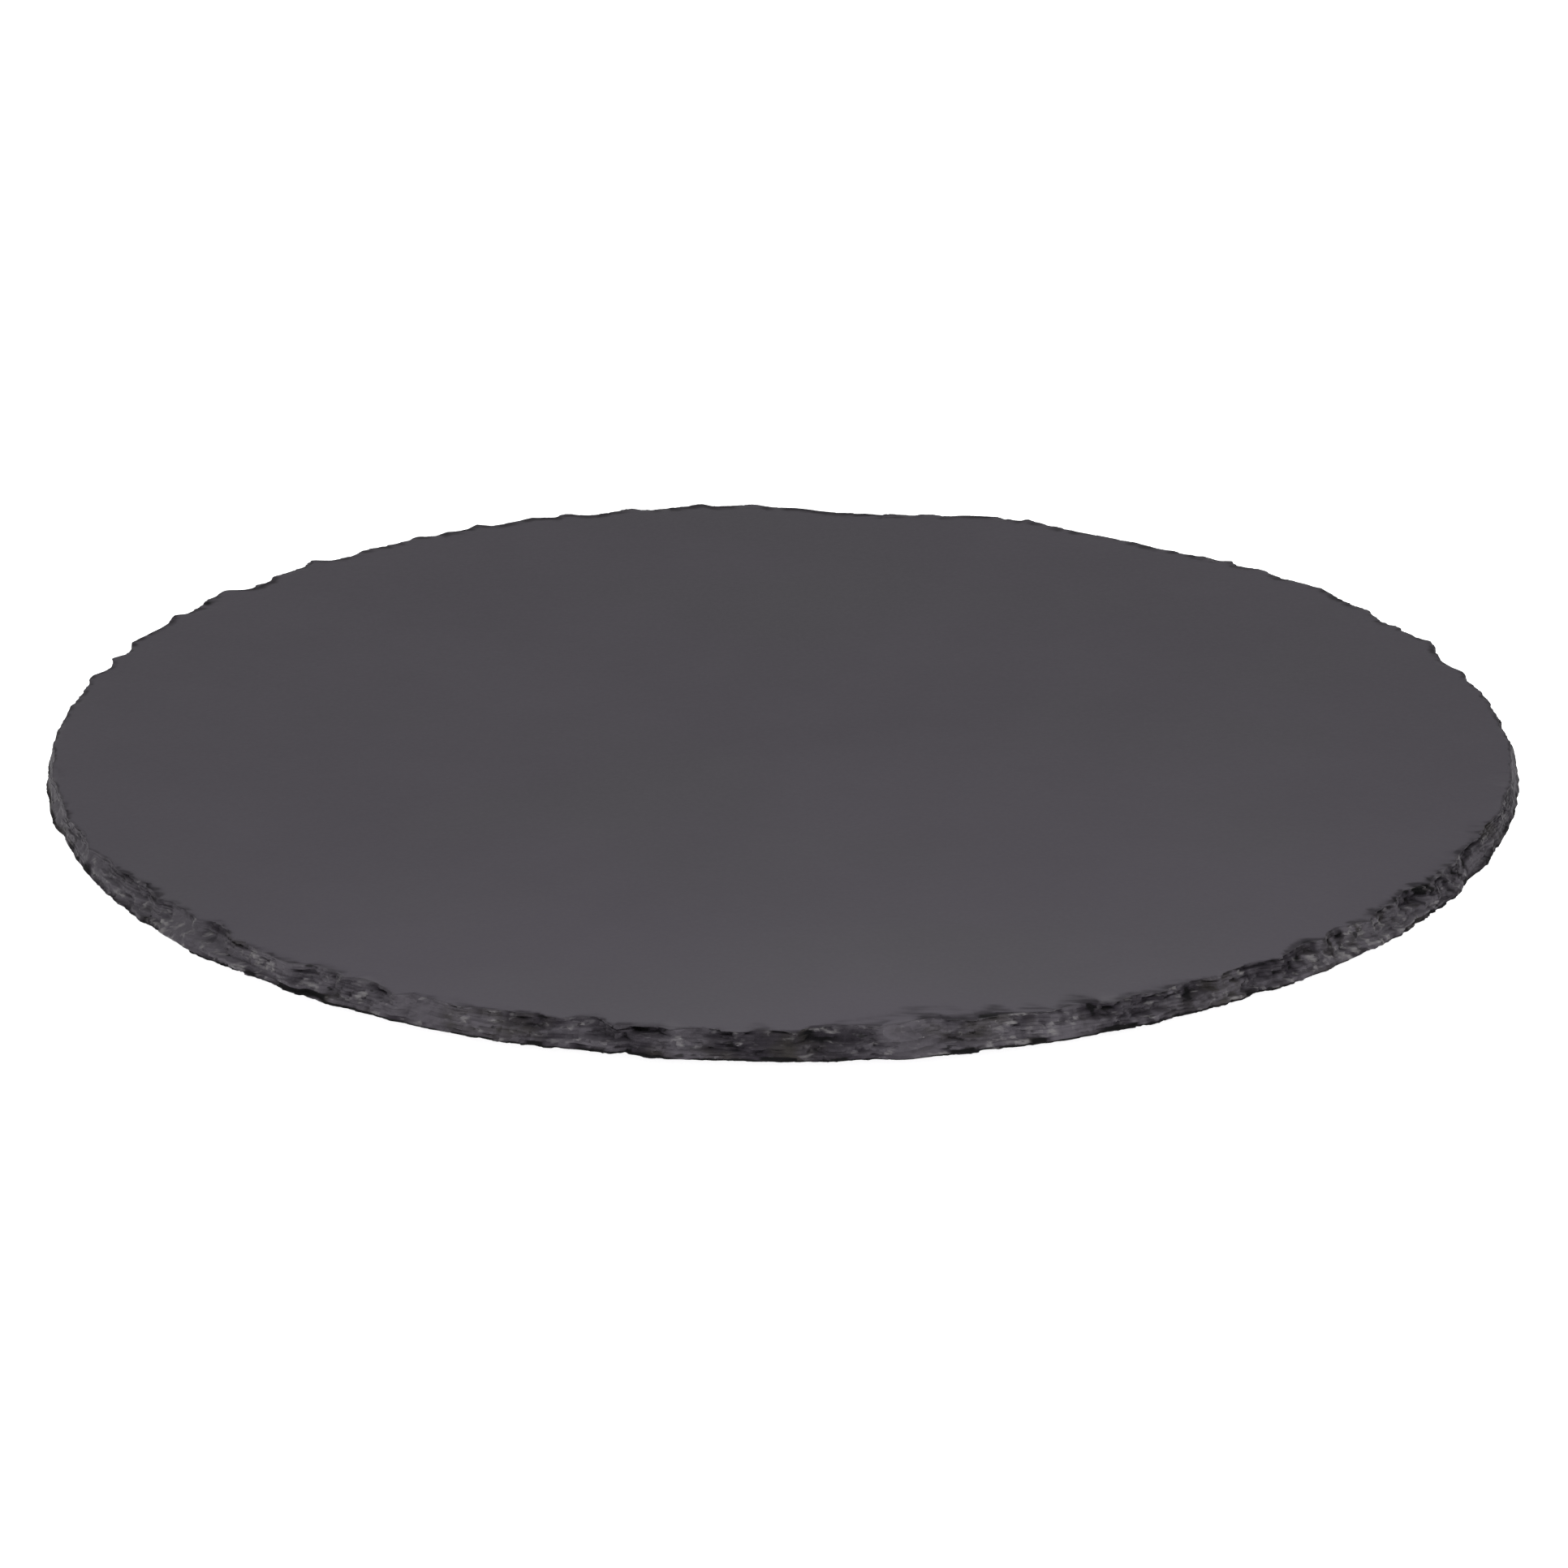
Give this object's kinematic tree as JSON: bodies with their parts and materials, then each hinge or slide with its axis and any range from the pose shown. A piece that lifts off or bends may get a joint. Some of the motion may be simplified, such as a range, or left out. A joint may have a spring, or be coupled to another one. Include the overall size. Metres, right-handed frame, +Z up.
{
  "type": "slate serving board",
  "caption": "Round, thin slate board with a hand-chipped rim, flat serving face and stick-on rubber feet, for serving cheese and cold food.",
  "frame": {"origin": "on the table, at the middle of the board's own widest extents, level with the lower faces of the feet", "axes": "+Z up, square to the serving face; the board's front is towards -Y and its right towards +X"},
  "size_m": [0.2998, 0.2998, 0.007],
  "materials": {
    "slate": "matt split slate, dark grey with a slight purple cast",
    "foot_rubber": "matt black rubber",
    "adhesive": "translucent acrylic adhesive film"
  },
  "bodies": {
    "root": {"slate_board": "slate", "foot_front_left": "foot_rubber", "foot_front_right": "foot_rubber", "foot_back_left": "foot_rubber", "foot_back_right": "foot_rubber", "adhesive_front_left": "adhesive", "adhesive_front_right": "adhesive", "adhesive_back_left": "adhesive", "adhesive_back_right": "adhesive"}
  },
  "joints": []
}
